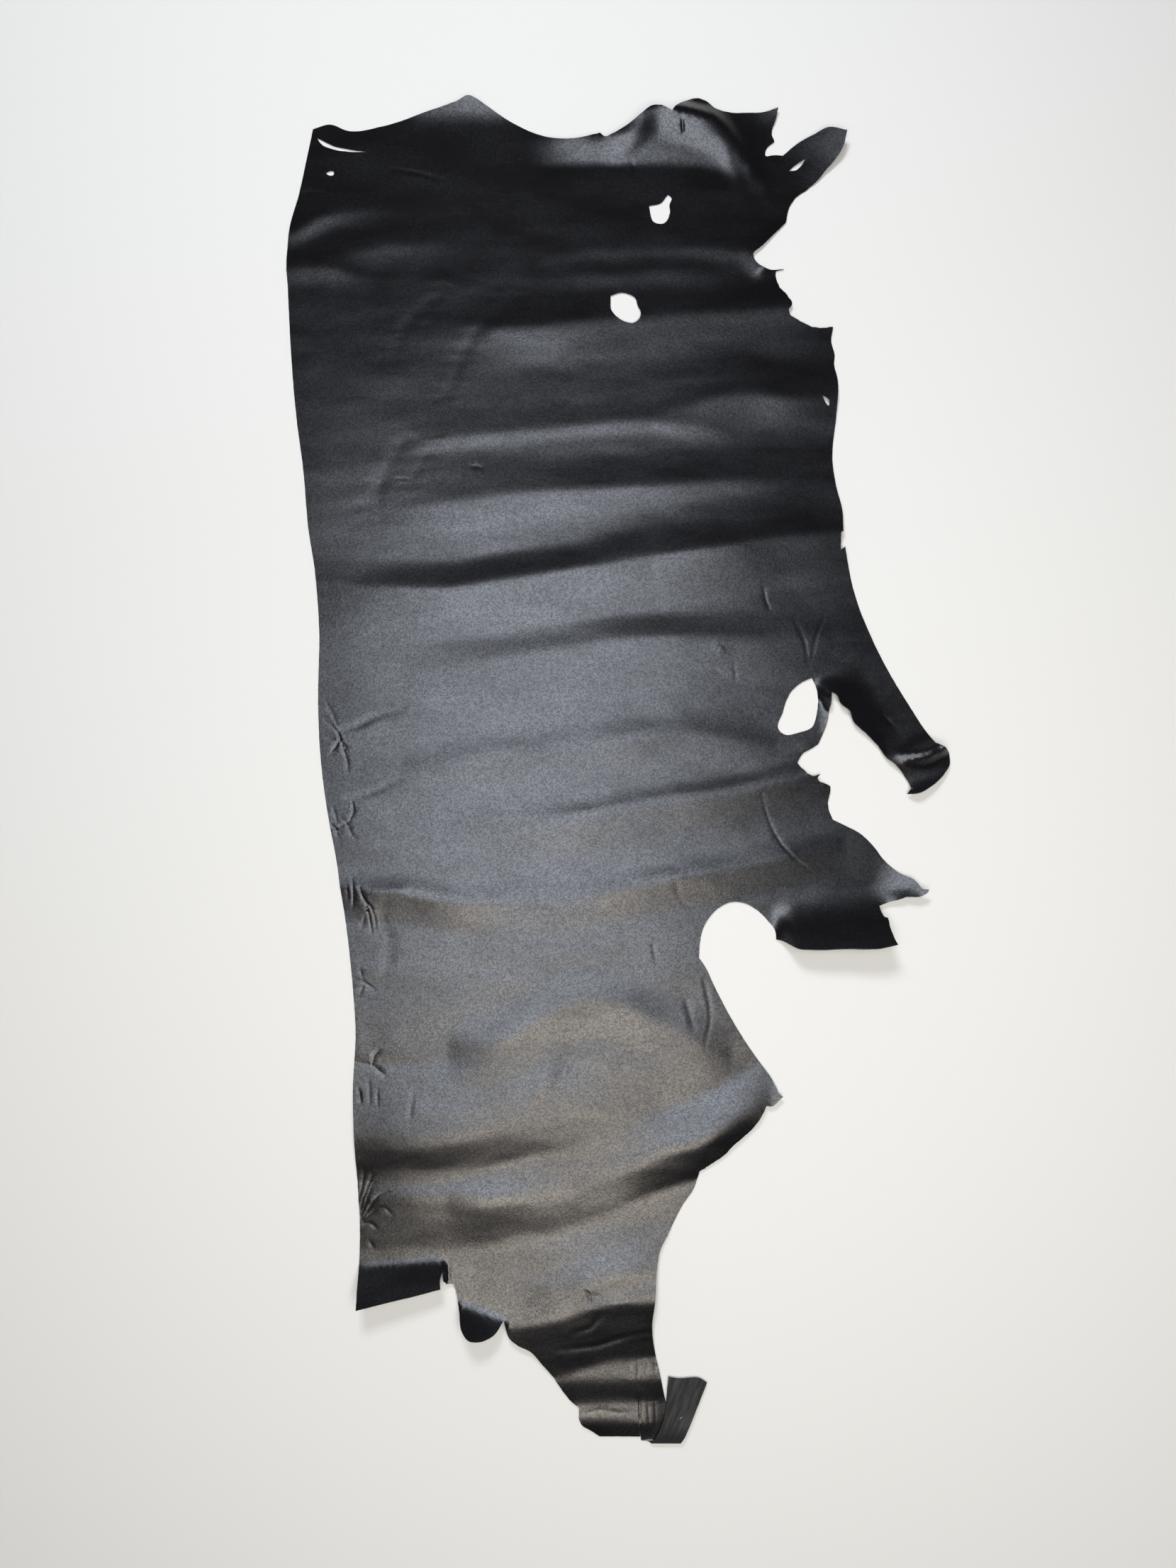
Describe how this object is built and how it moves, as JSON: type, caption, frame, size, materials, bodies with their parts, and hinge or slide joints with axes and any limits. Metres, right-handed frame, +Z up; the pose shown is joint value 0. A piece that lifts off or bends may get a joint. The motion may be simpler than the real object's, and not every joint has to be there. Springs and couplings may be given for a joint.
{
  "type": "leather side",
  "caption": "Full side of black grain leather, one half of a cow hide, lying grain side up with soft ridges, torn belly edge, shanks, small holes and a folded neck strip.",
  "frame": {"origin": "on the ground, under the middle of the hide's bounding box", "axes": "+Z up, grain side up; +Y from the neck towards the butt, along the backbone edge; +X from the backbone edge towards the belly edge"},
  "size_m": [1.1672, 2.368, 0.056],
  "materials": {
    "grain_leather": "satin"
  },
  "bodies": {
    "root": {"leather_side": "grain_leather"}
  },
  "joints": []
}
